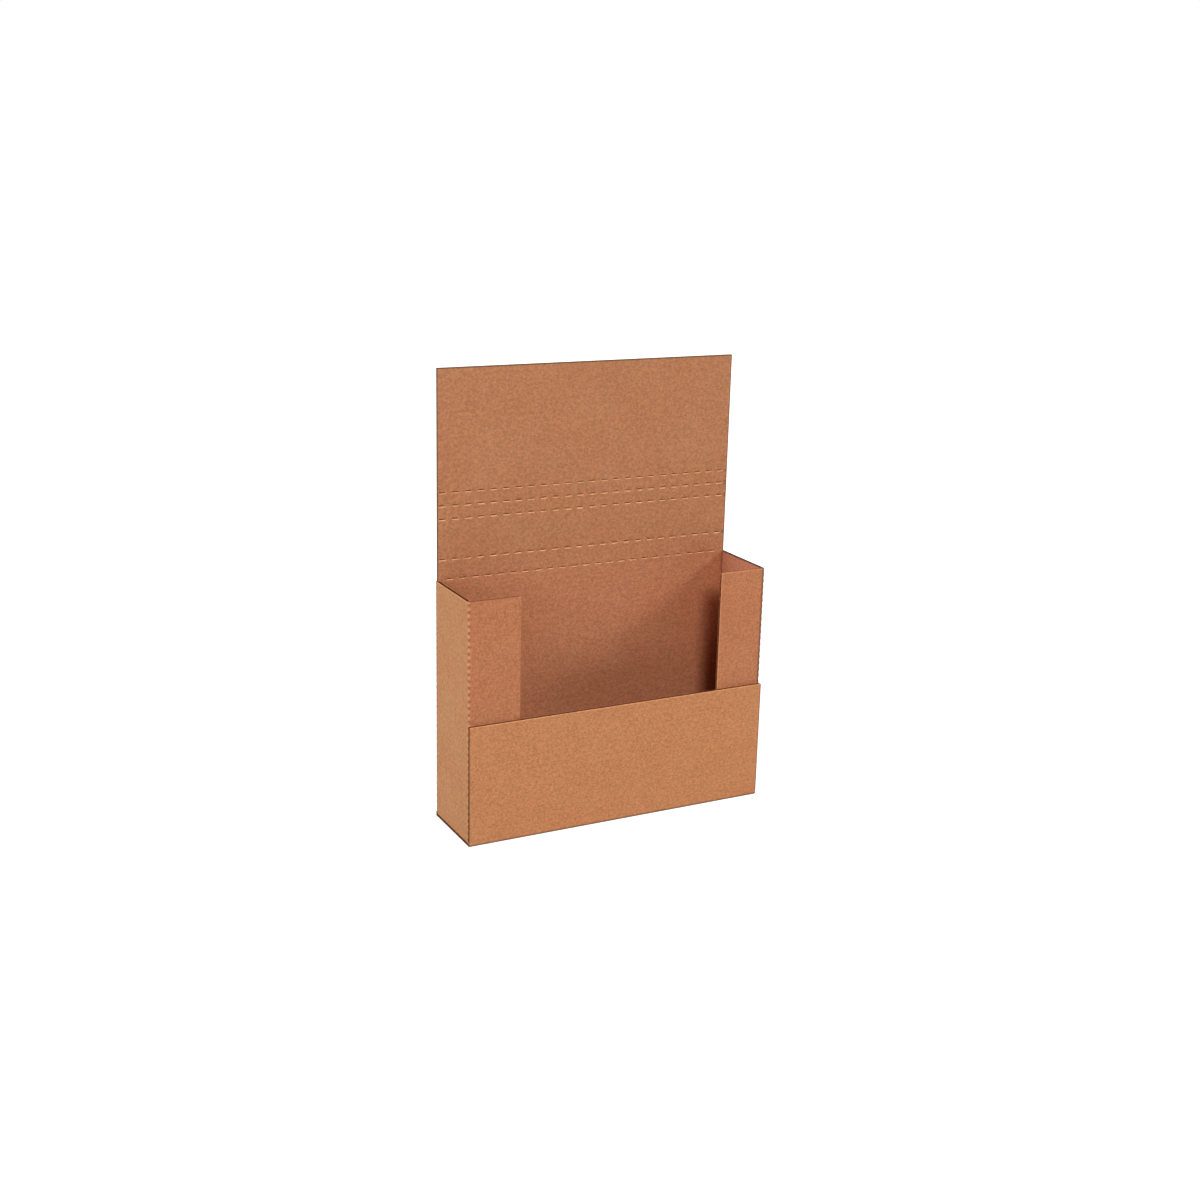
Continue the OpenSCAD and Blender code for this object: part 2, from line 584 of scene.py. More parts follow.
class BoardMesh:
    """Collects the papers of one piece of board and turns them into one mesh."""

    def __init__(self, board: Board, papers: Papers) -> None:
        """Starts an empty mesh."""
        self.board = board
        self.papers = papers
        self.points: list[np.ndarray] = []
        self.tints: list[np.ndarray] = []
        self.faces: list[tuple[int, ...]] = []
        self.kinds: list[Face] = []
        self.count = 0

    def _append(self, points: np.ndarray, tint: Any) -> int:
        """Adds points.

        Args:
            points: The points, with their coordinates along the last axis.
            tint: Their tints, or one that broadcasts to them.

        Returns:
            The index of the first.
        """
        first = self.count
        self.points.append(points.reshape(-1, 3))
        self.tints.append(np.broadcast_to(np.asarray(tint, float), points.shape).reshape(-1, 3))
        self.count += len(self.points[-1])
        return first

    def slab(
        self, outer: np.ndarray, inner: np.ndarray, kinds: tuple[Face, Face], tint: Any = 1.0,
        keep: np.ndarray | None = None, open_ends: bool = False, inner_tint: Any = None,
    ) -> None:
        """Adds a closed sheet between two grids of points.

        Args:
            outer: Grid of points on one face, with rows, columns and coordinates.
            inner: The same grid on the other face.
            kinds: The kinds of surface of the two faces. Its rims are cut edges.
            tint: Tint of each point, or one for all.
            keep: The cells of the grid that are there, or all of them.
            open_ends: Whether the first and last column are left without a rim.
            inner_tint: Tint of the other face's points, where it isn't the same.
        """
        rows, columns = outer.shape[:2]
        first = self._append(outer, tint)
        across = self._append(inner, tint if inner_tint is None else inner_tint) - first
        if keep is None:
            keep = np.ones((rows - 1, columns - 1), bool)
        # The cells with one more all round: past an open end, a kept cell counts as kept too
        there = np.pad(keep, 1)
        if open_ends:
            there[1:-1, 0], there[1:-1, -1] = keep[:, 0], keep[:, -1]
        for i, j in np.ndindex(rows, columns):
            here = first + i * columns + j
            if i < rows - 1 and j < columns - 1 and keep[i, j]:
                ring = (here, here + 1, here + columns + 1, here + columns)
                self.faces += [ring, tuple(corner + across for corner in reversed(ring))]
                self.kinds += kinds
            if j < columns - 1 and there[i, j + 1] != there[i + 1, j + 1]:
                self.rim(here, here + 1, across)
            if i < rows - 1 and there[i + 1, j] != there[i + 1, j + 1]:
                self.rim(here, here + columns, across)

    def rim(self, first: int, second: int, across: int, kind: Face = Face.CUT) -> None:
        """Adds one quad of a slab's rim, where across is the step from one face to the other."""
        self.faces.append((first, second, second + across, first + across))
        self.kinds.append(kind)

    def liners(
        self, base: np.ndarray, inward: np.ndarray, outside: np.ndarray, inside: np.ndarray,
        tint: Any, keep: np.ndarray | None = None, inside_tint: Any = None,
    ) -> None:
        """Adds the outside and the inside liner of a stretch of board.

        Args:
            base: Grid of points on the board's nominal outside face.
            inward: Direction through the board at each of them.
            outside: Depth of the outside face there.
            inside: Depth of the inside face there.
            tint: Tint of each point.
            keep: The cells of the grid that are there, or all of them.
            inside_tint: Tint of the inside liner, where it isn't the same.
        """
        liner = self.board.liner
        second = tint if inside_tint is None else inside_tint
        for low, high, kinds, shade in (
            (outside, outside + liner, (Face.OUTSIDE, Face.FLUTE), tint),
            (inside - liner, inside, (Face.FLUTE, Face.INSIDE), second),
        ):
            grids = (base + inward * depth[..., None] for depth in (low, high))
            self.slab(*grids, kinds, shade, keep)

    def take(self, mesh: bpy.types.Mesh, tint: Any = 1.0, axis: int | None = None) -> None:
        """Adds a mesh that geometry nodes made, and removes it.

        Args:
            mesh: The mesh.
            tint: Tint of the paper or of each point, on top of what the mesh carries.
            axis: The axis along which a fluted sheet runs, so that its ends are shown as cut.
        """
        kinds = {paper.name: face for face, paper in self.papers.items()}
        points = np.array([vertex.co for vertex in mesh.vertices])
        tints = np.ones(4 * len(points))
        carried = mesh.attributes.get(TINT)
        if carried:
            carried.data.foreach_get("color", tints)
        first = self._append(points, tints.reshape(-1, 4)[:, :3] * np.asarray(tint))
        for polygon in mesh.polygons:
            ring = list(polygon.vertices)
            at_end = axis is not None and np.ptp(points[ring, axis]) < 0.01 * MM
            kind = kinds[mesh.materials[polygon.material_index].name]
            self.faces.append(tuple(first + vertex for vertex in ring))
            self.kinds.append(Face.CUT if at_end else kind)
        bpy.data.meshes.remove(mesh)

    def build(self, name: str, sharp: float = 32.0) -> bpy.types.Object:
        """Makes the object, with its place in its mesh.

        Args:
            name: The piece's name.
            sharp: Angle in degrees above which an edge is shown sharp.

        Returns:
            The object.
        """
        mesh = bpy.data.meshes.new(name)
        mesh.from_pydata(np.concatenate(self.points).tolist(), [], self.faces)
        for face in Face:
            mesh.materials.append(self.papers[face])
        mesh.polygons.foreach_set("material_index", np.array(self.kinds, np.int32))
        tints = np.concatenate(self.tints)
        shades = mesh.attributes.new(TINT, "FLOAT_COLOR", "POINT")
        shades.data.foreach_set("color", np.c_[tints, np.ones(len(tints))].ravel())
        work = bmesh.new()
        work.from_mesh(mesh)
        bmesh.ops.recalc_face_normals(work, faces=work.faces)
        work.to_mesh(mesh)
        work.free()
        mesh.shade_smooth()
        mesh.set_sharp_from_angle(angle=math.radians(sharp))
        made = bpy.data.objects.new(name, mesh)
        bpy.context.scene.collection.objects.link(made)
        return made


class Recipe:
    """A geometry nodes tree with named inputs, and a way to run it to a plain mesh."""

    def __init__(self, name: str, inputs: dict[str, str]) -> None:
        """Starts a tree.

        Args:
            name: The tree's name.
            inputs: The socket type of each named input.
        """
        self.group = bpy.data.node_groups.new(name, "GeometryNodeTree")
        sockets = self.group.interface
        self.identifiers = {
            label: sockets.new_socket(
                name=label, in_out="INPUT", socket_type=f"NodeSocket{kind}"
            ).identifier
            for label, kind in inputs.items()
        }
        sockets.new_socket(name="Geometry", in_out="OUTPUT", socket_type="NodeSocketGeometry")
        self.tree = NodeTree(self.group)
        self.entry = self.tree.node("NodeGroupInput")

    def given(self, label: str) -> Socket:
        """The socket that carries a named input."""
        return self.entry.outputs[label]

    def finish(self, geometry: Socket) -> None:
        """Links the tree's result to its output."""
        output = self.tree.node("NodeGroupOutput")
        self.group.links.new(geometry, output.inputs["Geometry"])

    def run(self, values: dict[str, Any]) -> bpy.types.Mesh:
        """Runs the tree.

        Args:
            values: A value for each named input.

        Returns:
            The resulting mesh, with no modifier left.
        """
        carrier = bpy.data.objects.new("carrier", bpy.data.meshes.new("carrier"))
        bpy.context.scene.collection.objects.link(carrier)
        modifier = carrier.modifiers.new("recipe", "NODES")
        modifier.node_group = self.group
        for label, value in values.items():
            modifier[self.identifiers[label]] = value
        evaluated = carrier.evaluated_get(bpy.context.evaluated_depsgraph_get())
        mesh = bpy.data.meshes.new_from_object(evaluated)
        carrier.modifiers.remove(modifier)
        bpy.data.objects.remove(carrier)
        return mesh


@dataclass
class FlutedSheet:
    """The wavy paper between two liners, made by geometry nodes."""

    board: Board
    papers: Papers
    tones: Tones
    samples: int = 14
    trim: float = 0.12 * MM

    def __post_init__(self) -> None:
        """Builds the tree, which waves a row of points, draws it out and gives it thickness."""
        inputs = dict.fromkeys(("First", "Step", "Outward", "Run"), "Vector")
        inputs |= dict.fromkeys(("First Angle", "Angle Step", "Swing", "Paper"), "Float")
        self.recipe = Recipe("fluted_sheet", inputs | {"Count": "Int", "Material": "Material"})
        tree, given = self.recipe.tree, self.recipe.given
        values = {"Count": given("Count"), "Start Location": given("First"), "Offset": given("Step")}
        row = tree.out("GeometryNodeMeshLine", values)
        index = Signal(tree, tree.out("GeometryNodeInputIndex"))
        angle = index * given("Angle Step") + given("First Angle")
        lift = tree.scaled(given("Outward"), angle.cosine() * given("Swing") * -1.0)
        wave = tree.out("GeometryNodeSetPosition", {"Geometry": row, "Offset": lift})
        values = {"Mesh": wave, "Offset": given("Run"), "Offset Scale": 1.0}
        drawn = tree.out("GeometryNodeExtrudeMesh", values, mode="EDGES")
        back = tree.scaled(tree.out("GeometryNodeInputNormal"), Signal(tree, given("Paper")) * -0.5)
        lower = tree.out("GeometryNodeSetPosition", {"Geometry": drawn, "Offset": back})
        values = {"Mesh": lower, "Offset Scale": given("Paper"), "Individual": False}
        raised = tree.out("GeometryNodeExtrudeMesh", values, mode="FACES")
        under = tree.out("GeometryNodeFlipFaces", {"Mesh": lower})
        both = tree.out("GeometryNodeJoinGeometry", {"Geometry": [raised, under]})
        closed = tree.out("GeometryNodeMergeByDistance", {"Geometry": both, "Distance": 1e-7})
        real = tree.out("GeometryNodeRealizeInstances", {"Geometry": closed})
        values = {"Geometry": real, "Material": given("Material")}
        self.recipe.finish(tree.out("GeometryNodeSetMaterial", values))

    def lay(
        self, mesh: BoardMesh, start: Color, end: Color, outward: Color, run: Color, phase: float,
        tint: float, pale_top: float | None = None,
    ) -> None:
        """Lays the sheet in one flat stretch of board.

        Args:
            mesh: The mesh that it is added to.
            start: A point in the middle of the board, where the stretch begins.
            end: The point across the flutes where it ends.
            outward: Direction of the outside liner.
            run: From one end of the flutes to the other.
            phase: Distance from the start to the cut edge from which the flutes are counted.
            tint: Tint of the paper.
            pale_top: Height of a cut edge near which a painted highlight makes the paper pale.
        """
        board, tones = self.board, self.tones
        start, end, run = Vector(start), Vector(end), Vector(run)
        across, along = (end - start).normalized(), run.normalized()
        start = start + (across + along) * self.trim
        end = end + (along - across) * self.trim
        length = (end - start).length
        count = max(3, round(length / board.pitch * self.samples) + 1)
        turn = 2 * math.pi / board.pitch
        values = {
            "First": start, "Step": (end - start) / (count - 1), "Count": count,
            "Outward": Vector(outward), "Run": run - along * 2 * self.trim,
            "First Angle": turn * (phase - self.trim), "Angle Step": -turn * length / (count - 1),
            "Swing": board.thickness / 2 - board.liner - (board.paper + board.washboard) / 2,
            "Paper": board.paper, "Material": self.papers[Face.FLUTE],
        }
        sheet = self.recipe.run(values)
        if pale_top is not None:
            heights = np.array([[vertex.co.z] for vertex in sheet.vertices])
            share = np.clip(1 - (pale_top - heights) / tones.pale_run, 0, 1)
            tint = tint * (1 + (tones.pale_top - 1) * share)
        mesh.take(sheet, tint, axis=0 if run.x else 1)


@dataclass(frozen=True)
class Cuts:
    """A row of perforation cuts along a score line, and the pressed board round it."""

    height: float
    margin: float
    seed: int
    reach: float = 2.0 * MM
    length: float = 6.2 * MM
    width: float = 0.8 * MM
    pitch: float = 12.95 * MM
    lip: float = 0.7 * MM
    mouth: float = 0.55 * MM
    exit: float = 0.25 * MM
    torn_run: float = 1.1 * MM
    score: float = 0.06 * MM
    # Share of its width to which a cut closes on the outside, and the least opening that goes through
    slit: float = 0.02
    through: float = 0.3
    # Most that a cut strays from the line, and the range of its depth
    stray: float = 0.08 * MM
    strengths: tuple[float, float] = (0.8, 1.15)


@dataclass
class PerforatedBand:
    """Solid, pressed board along a score line, with its row of cuts laid by geometry nodes."""

    sizes: BoxSizes
    board: Board
    papers: Papers
    tones: Tones
    versions: int = 4

    def __post_init__(self) -> None:
        """Builds the tree, which repeats the cuts and the bridges between them and adds the ends."""
        inputs = {f"Cut {i}": "Object" for i in range(self.versions)}
        inputs |= dict.fromkeys(("Bridge", "Left End", "Right End"), "Object")
        inputs |= dict.fromkeys(("Pitch", "First", "Height"), "Float")
        inputs |= {"Count": "Int", "Seed": "Int"}
        inputs |= dict.fromkeys((face.name.title() for face in Face), "Material")
        self.recipe = Recipe("perforated_band", inputs)
        tree, given = self.recipe.tree, self.recipe.given
        step = tree.out("ShaderNodeCombineXYZ", {"X": given("Pitch")})

        def shape(label: str) -> Socket:
            """The geometry of an object that is given."""
            return tree.out("GeometryNodeObjectInfo", {"Object": given(label)}, "Geometry")

        def line(count: Any, first: Any) -> Socket:
            """A row of points along X at the score line's height."""
            start = tree.out("ShaderNodeCombineXYZ", {"X": first, "Z": given("Height")})
            values = {"Count": count, "Start Location": start, "Offset": step}
            return tree.out("GeometryNodeMeshLine", values)

        single = [
            tree.out("GeometryNodeGeometryToInstance", {"Geometry": shape(f"Cut {i}")})
            for i in range(self.versions)
        ]
        values = {"Min_002": 0, "Max_002": self.versions - 1, "Seed": given("Seed")}
        pick = tree.out("FunctionNodeRandomValue", values, "Value_002", data_type="INT")
        values = {
            "Points": line(given("Count"), given("First")),
            "Instance": tree.out("GeometryNodeJoinGeometry", {"Geometry": single}),
            "Pick Instance": True, "Instance Index": pick,
        }
        cuts = tree.out("GeometryNodeInstanceOnPoints", values)
        fewer = Signal(tree, given("Count")) - 1.0
        first = Signal(tree, given("Pitch")) * 0.5 + given("First")
        values = {"Points": line(fewer, first), "Instance": shape("Bridge")}
        bridges = tree.out("GeometryNodeInstanceOnPoints", values)
        both = [shape("Right End"), shape("Left End")]
        values = {
            "Geometry": tree.out("GeometryNodeJoinGeometry", {"Geometry": both}),
            "Offset": tree.out("ShaderNodeCombineXYZ", {"Z": given("Height")}),
        }
        ends = tree.out("GeometryNodeSetPosition", values)
        whole = tree.out("GeometryNodeJoinGeometry", {"Geometry": [cuts, bridges, ends]})
        real = tree.out("GeometryNodeRealizeInstances", {"Geometry": whole})
        flow = tree.out("GeometryNodeMergeByDistance", {"Geometry": real, "Distance": 2e-6})
        kind = tree.out("GeometryNodeInputNamedAttribute", {"Name": KIND}, data_type="INT")
        for face in Face:
            values = {"A_INT": kind, "B_INT": int(face)}
            wanted = tree.out("FunctionNodeCompare", values, data_type="INT", operation="EQUAL")
            values = {"Geometry": flow, "Selection": wanted, "Material": given(face.name.title())}
            flow = tree.out("GeometryNodeSetMaterial", values)
        self.recipe.finish(flow)

    def _block(
        self, cuts: Cuts, runs: np.ndarray, opening: np.ndarray, shift: float = 0.0,
        strength: float = 0.0, closed: int = 0,
    ) -> bpy.types.Object:
        """Makes one block of the band, around the height zero.

        Args:
            cuts: The row that it belongs to.
            runs: Positions of its columns along the score line.
            opening: How open the cut is at each column, from 0 to 1.
            shift: How far the cut lies above the line.
            strength: How deep its lips are pressed, next to the usual.
            closed: -1 where the first column is a cut edge of the board, 1 where the last one is.

        Returns:
            The object.
        """
        board, tones = self.board, self.tones
        half = cuts.width / 2
        run = min(cuts.torn_run, cuts.reach - half)
        upper = np.append([half / 2, half], half + run * np.array([0.25, 0.5, 0.75, 1]))
        if cuts.reach > half + run:
            upper = np.append(upper, cuts.reach)
        heights = np.concatenate([-upper[::-1], [0], upper])[:, None]
        away = np.abs(heights)
        edge = np.full(len(runs), math.inf)
        if closed:
            stretch = max(1.0, board.rounding_run / (runs[-1] - runs[0]))
            edge = np.abs(runs - runs[0 if closed < 0 else -1]) * stretch
        bend = shift * opening * (1 - (heights / cuts.reach) ** 2)
        grids = []
        for share in (cuts.slit, 1.0):
            squeeze = np.where(away <= half, cuts.slit + (share - cuts.slit) * opening, 1.0)
            grids.append(lattice(runs, self.sizes.back_y, heights * squeeze + bend))
        press = np.clip(1 - (away - half) / (0.8 * cuts.reach - half), 0, 1) ** 2 * opening * strength
        flush = (1 - (away / cuts.reach) ** 2) * cuts.score + board.closing(edge)
        depths = (flush + cuts.exit * press, board.thickness - flush - cuts.mouth * press)
        outer, inner = (
            grid - lattice(0, 1, 0) * depth[..., None] for grid, depth in zip(grids, depths)
        )
        gone = np.maximum(away[:-1], away[1:]) <= half
        gone = gone & (np.minimum(opening[:-1], opening[1:]) > cuts.through)
        # Painted highlight on the torn lip below the cut, painted shade on the lip above it and in the
        # slit
        near = np.clip(1 - (away - half) / run, 0, 1)
        lips = (np.clip(2 * near * cuts.torn_run / run, 0, 1) * opening)[..., None]
        torn_lip_light = np.where(heights[..., None] < 0, tones.torn_lip_light, tones.shade_above_cut) - 1
        slit_shade = (1 - (1 - tones.slit) * near**4 * opening)[..., None]
        # Painted shade along the band's cut end
        painted_edge = board.painted_edge(edge, tones.cut_dark if closed > 0 else tones.cut_left)[:, None]
        mesh = BoardMesh(board, self.papers)
        mesh.slab(
            outer, inner, (Face.OUTSIDE, Face.INSIDE), tint=slit_shade * painted_edge, keep=~gone,
            open_ends=True, inner_tint=(1 + torn_lip_light * lips) * painted_edge,
        )
        if closed:
            rows, columns = outer.shape[:2]
            for row in range(rows - 1):
                first = row * columns + (columns - 1 if closed > 0 else 0)
                mesh.rim(first, first + columns, rows * columns, Face.FLUTE)
        block = mesh.build("block")
        kinds = block.data.attributes.new(KIND, "INT", "FACE")
        kinds.data.foreach_set("value", np.array(mesh.kinds, np.int32))
        return block

    def make(self, cuts: Cuts) -> bpy.types.Mesh:
        """Makes the band for one row of cuts.

        Args:
            cuts: The row.

        Returns:
            The mesh.
        """
        half_lid, half = self.sizes.half_lid, cuts.length / 2
        reach = half + cuts.lip
        draw = np.random.default_rng(cuts.seed)
        runs = np.array([reach, half + cuts.lip / 2, half, half * 0.8, half * 0.45])
        runs = np.concatenate([-runs, [0], runs[::-1]])
        opening = np.array([0, 0.25, 0.45, 0.9, 1, 1, 1, 0.9, 0.45, 0.25, 0])
        values: dict[str, Any] = {}
        for index in range(self.versions):
            shift, strength = draw.uniform(-cuts.stray, cuts.stray), draw.uniform(*cuts.strengths)
            values[f"Cut {index}"] = self._block(cuts, runs, opening, shift, strength)
        gap = cuts.pitch / 2 - reach
        values["Bridge"] = self._block(cuts, np.array([-gap, gap]), np.zeros(2))
        count = int((2 * half_lid - 2 * cuts.margin - cuts.length) / cuts.pitch) + 1
        first = -half_lid + cuts.margin + half
        last = first + (count - 1) * cuts.pitch
        rounding = ROUND_STEPS * min(self.board.rounding_run, first - reach + half_lid)
        left = np.unique(np.append(-half_lid + rounding, first - reach).round(8))
        right = np.unique(np.append(half_lid - rounding, last + reach).round(8))
        values["Left End"] = self._block(cuts, left, 0 * left, closed=-1)
        values["Right End"] = self._block(cuts, right, 0 * right, closed=1)
        blocks = list(values.values())
        values |= {face.name.title(): paper for face, paper in self.papers.items()}
        values |= {"Count": count, "Pitch": cuts.pitch, "First": first}
        made = self.recipe.run(values | {"Height": cuts.height, "Seed": cuts.seed})
        for block in blocks:
            bpy.data.objects.remove(block)
        return made


@dataclass
class Workshop:
    """What every sub-assembly is built with."""

    sizes: BoxSizes
    board: Board
    papers: Papers
    tones: Tones
    flutes: FlutedSheet
    bands: PerforatedBand

    def mesh(self) -> BoardMesh:
        """Starts the mesh of a piece."""
        return BoardMesh(self.board, self.papers)

    def runs(self, half: float) -> np.ndarray:
        """Positions along the flutes of a panel that is cut at both ends."""
        return np.concatenate([-half + self.board.rounded, (half - self.board.rounded)[::-1]])

    def panel(
        self, mesh: BoardMesh, course: Course, half: float, cut: float, tint: Any = 1.0,
        half_fold: float | None = None, free_tone: float | None = None,
    ) -> None:
        """Lays liners along a course in the Y and Z directions, drawn out along X.

        Args:
            mesh: The mesh that they are added to.
            course: The course of the outside face. The flutes lie across it.
            half: Half of the panel's width.
            cut: Distance from the course's start to the cut edge that the flutes are counted from.
            tint: Tint of the paper.
            half_fold: Half of the width at a folded corner, where the panel is notched.
            free_tone: Painted tone of the course's free end, where it isn't the side edges'.
        """
        board, tones = self.board, self.tones
        stations = course.stations(board)
        runs = self.runs(half)
        if half_fold:
            runs = np.unique(np.concatenate([runs, [-half_fold, half_fold]]))
        steps = np.linalg.norm(np.diff(stations.place, axis=0), axis=1)
        flute = board.flute(np.concatenate([[0], np.cumsum(steps)]), cut)
        edge = np.minimum((half - np.abs(runs))[:, None], stations.edge)
        outside, inside = board.faces(flute, stations.depth, board.closing(edge))
        base = lattice(runs[:, None], *stations.place.T)
        inward = lattice(0 * runs[:, None], *stations.inward.T)
        keep = None
        if half_fold:
            notched = (np.abs(runs[:-1]) + np.abs(runs[1:])) / 2 > half_fold
            keep = ~(notched[:, None] & (stations.depth[:-1] <= board.crease + TINY))
        # Painted shade along the side cut edges, and painted shade or highlight at the free end
        painted_edge = board.painted_edge(half - runs, tones.cut_dark) * board.painted_edge(half + runs, tones.cut_left)
        ribs = tones.ribbed(flute) * board.painted_edge(stations.edge, free_tone or tones.cut_dark)
        shades = (painted_edge[:, None] * ribs)[..., None] * np.asarray(tint)
        mesh.liners(base, inward, outside, inside, shades, keep)


@dataclass
class BoxBody:
    """The part of the sheet that stays put: back panel, side walls, side flaps and bottom wall."""

    shop: Workshop
    back_serration: float = 0.45

    def _wrap(self, mesh: BoardMesh) -> None:
        """Lays the liners round the box, from the free edge of one side flap to the other's.

        Args:
            mesh: The mesh that they are added to.
        """
        sizes, board, tones = self.shop.sizes, self.shop.board, self.shop.tones
        wide, front, back = sizes.half_width, sizes.flap_y, sizes.back_y
        top, foot = sizes.wall_top, sizes.wall_foot
        corners = (
            (-wide + sizes.left_flap, front), (-wide, front), (-wide, back),
            (wide, back), (wide, front), (wide - sizes.right_flap, front),
        )
        stations = Course(corners, side=-1, free_start=True, free_end=True).stations(board)
        heights = top - np.arange(0, top - foot, board.step)
        heights = heights[(heights < top - board.rounding_run) & (heights > foot + board.rounding_run)]
        heights = np.concatenate([foot + board.rounded, heights, top - board.rounded])
        heights = np.unique(heights.round(8))[:, None]
        flute = board.flute(heights, top)
        on_back = np.abs(stations.place[:, 1] - back) < TINY
        on_back &= np.abs(stations.place[:, 0]) < wide - board.corner + TINY
        level = np.minimum(heights - foot, top - heights)
        edge = np.minimum(np.where(on_back, math.inf, level), stations.edge)
        outside, inside = board.faces(flute, stations.depth, board.closing(edge))
        dent = board.dent * (1 + flute) / 2 * self._serration(stations)
        crush = smooth(1 - (heights - board.radius) / board.swell) * (board.thickness - board.crease)
        outside = outside + dent
        inside = inside + dent - crush * on_back
        base = lattice(*stations.place.T, heights)
        inward = lattice(*stations.inward.T, 0 * heights)
        # Painted light at the cut edges: none on the left flap, shade on the right wall, a highlight
        # elsewhere
        left_flap = (stations.place[:, 0] < 0) & (np.abs(stations.inward[:, 1]) > FACING)
        right_wall = stations.inward[:, 0] < -FACING
        tone = np.where(left_flap, tones.cut_left_flap, tones.cut_light)
        tone = np.where(right_wall, tones.cut_right, tone)
        painted_edge = (tones.ribbed(flute) * board.painted_edge(edge, tone))[..., None]
        tint = self._wrap_tint(stations, (1 + flute) / 2) * painted_edge
        # Painted light inside the box: the inside's tint, run into the lid's near the fold, and the
        # right wall's own tint
        inner = tones.near_fold(heights - sizes.lid_fold)
        inner = np.where(right_wall[:, None], tones.right_inside, inner) * painted_edge
        mesh.liners(base, inward, outside, inside, tint, inside_tint=inner)
        # The solid board inside the creases, which nothing shows, has every second station
        turns = np.flatnonzero(np.diff((stations.depth < board.thickness - TINY).astype(int)))
        for start, end in zip(turns[::2], turns[1::2] + 1):
            part = np.arange(start, end + 1, 2)
            depths = (outside + board.liner, inside - board.liner)
            faces = (base[:, part] + inward[:, part] * depth[:, part, None] for depth in depths)
            mesh.slab(*faces, (Face.FLUTE, Face.FLUTE), tones.core)

    def _serration(self, stations: Stations) -> np.ndarray:
        """How strongly each station is serrated: the front folds were bent further."""
        return stations.fold * np.where(stations.place[:, 1] < 0, 1.0, self.back_serration)

    def _wrap_tint(self, stations: Stations, waves: np.ndarray) -> np.ndarray:
        """Tints the walls and flaps with painted light, and paints shade into the folds' dents and onto
        their flanks and a highlight onto their rubbed ridges.

        Args:
            stations: The stations round the box.
            waves: Where the flutes touch the outside liner at each height, from 0 to 1.

        Returns:
            Tints with heights, stations and colours along the three axes.
        """
        tones = self.shop.tones
        side = np.abs(stations.inward[:, :1])
        front = (1 - side) * (stations.place[:, 1:] < 0)
        tint = side * tones.side_wall + front * tones.side_flap + (1 - side - front) * tones.plain
        serration = self._serration(stations)
        # Painted shade in the dents, and the ridges between them lighter: rubbed paper and a painted
        # highlight
        dark = (np.array(tones.dent_shade) - 1) * (waves**2 * serration)[..., None]
        light = (tones.rub_and_highlight - 1) * ((1 - waves) * serration)[..., None]
        # Painted shade on the board beside each fold, but not near the front left corner
        near_left = (stations.place < 0).all(axis=1)
        flank_shade = np.cbrt(np.clip(stations.fold / FLANK_FOLD, 0, 1)) * ~near_left
        return tint * (1 + dark + light) * (1 + (tones.flank_shade - 1) * flank_shade)[:, None]

    def _bottom(self, mesh: BoardMesh) -> None:
        """Lays the bottom wall, from the front flap's fold to the crease under the back panel.

        Args:
            mesh: The mesh that it is added to.
        """
        shop, sizes, board = self.shop, self.shop.sizes, self.shop.board
        start, wide, middle = sizes.front_y + sizes.front_seam, sizes.half_width, board.thickness / 2
        line = ((start, 0.0), (sizes.back_y, 0.0), (sizes.back_y, sizes.wall_foot))
        course = Course(line, side=1, step=board.step)
        shop.panel(mesh, course, wide, 0.0, half_fold=sizes.half_lid)
        places = sizes.back_y - np.array([board.radius, sizes.slit])
        for side in (-1, 1):
            runs = np.sort(side * np.array([wide, sizes.half_lid]))[:, None]
            faces = (lattice(runs, places, height) for height in (0.0, board.thickness))
            # Painted shade on the tabs' cut ends
            tone = np.where(np.abs(runs) > wide - TINY, shop.tones.cut_tab, 1.0)[..., None]
            mesh.slab(*faces, (Face.OUTSIDE, Face.INSIDE), tone)
        far = (-wide, sizes.back_y - board.corner, middle)
        # The fluted sheet's tint is painted light
        run, tint = (2 * wide, 0, 0), shop.tones.bottom_flutes
        shop.flutes.lay(mesh, (-wide, start, middle), far, (0, 0, -1), run, 0.0, tint)

    def _fluted(self, mesh: BoardMesh) -> None:
        """Puts the fluted sheets between the liners of the upright panels.

        Args:
            mesh: The mesh that they are added to.
        """
        sizes, board, tones = self.shop.sizes, self.shop.board, self.shop.tones
        half, corner, wide = board.thickness / 2, board.corner, sizes.half_width
        front, back, foot, top = sizes.flap_y, sizes.back_y, sizes.wall_foot, sizes.wall_top
        across, deep = (2 * (wide - corner), 0, 0), (0, back - front - 2 * corner, 0)
        left, right = (sizes.left_flap - corner, 0, 0), (corner - sizes.right_flap, 0, 0)
        # Each sheet's tint is painted light or shade; the right side flap's has a painted highlight at
        # its top
        for x, y, low, outward, run, tint, pale_top in (
            (-wide + corner, back - half, corner, (0, 1, 0), across, tones.back_flutes, None),
            (-wide + half, front + corner, foot, (-1, 0, 0), deep, tones.left_flutes, None),
            (wide - half, front + corner, foot, (1, 0, 0), deep, tones.right_flutes, None),
            (-wide + corner, front + half, foot, (0, -1, 0), left, tones.left_flap_flutes, None),
            (wide - corner, front + half, foot, (0, -1, 0), right, tones.right_flap_flutes, top),
        ):
            ends = (x, y, low), (x, y, top)
            self.shop.flutes.lay(mesh, *ends, outward, run, top - low, tint, pale_top)

    def build(self) -> bpy.types.Object:
        """Builds the piece and puts it on its body."""
        mesh = self.shop.mesh()
        self._wrap(mesh)
        self._bottom(mesh)
        self._fluted(mesh)
        made = mesh.build("body_board")
        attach(made, "box_body")
        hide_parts("box_body")
        return made


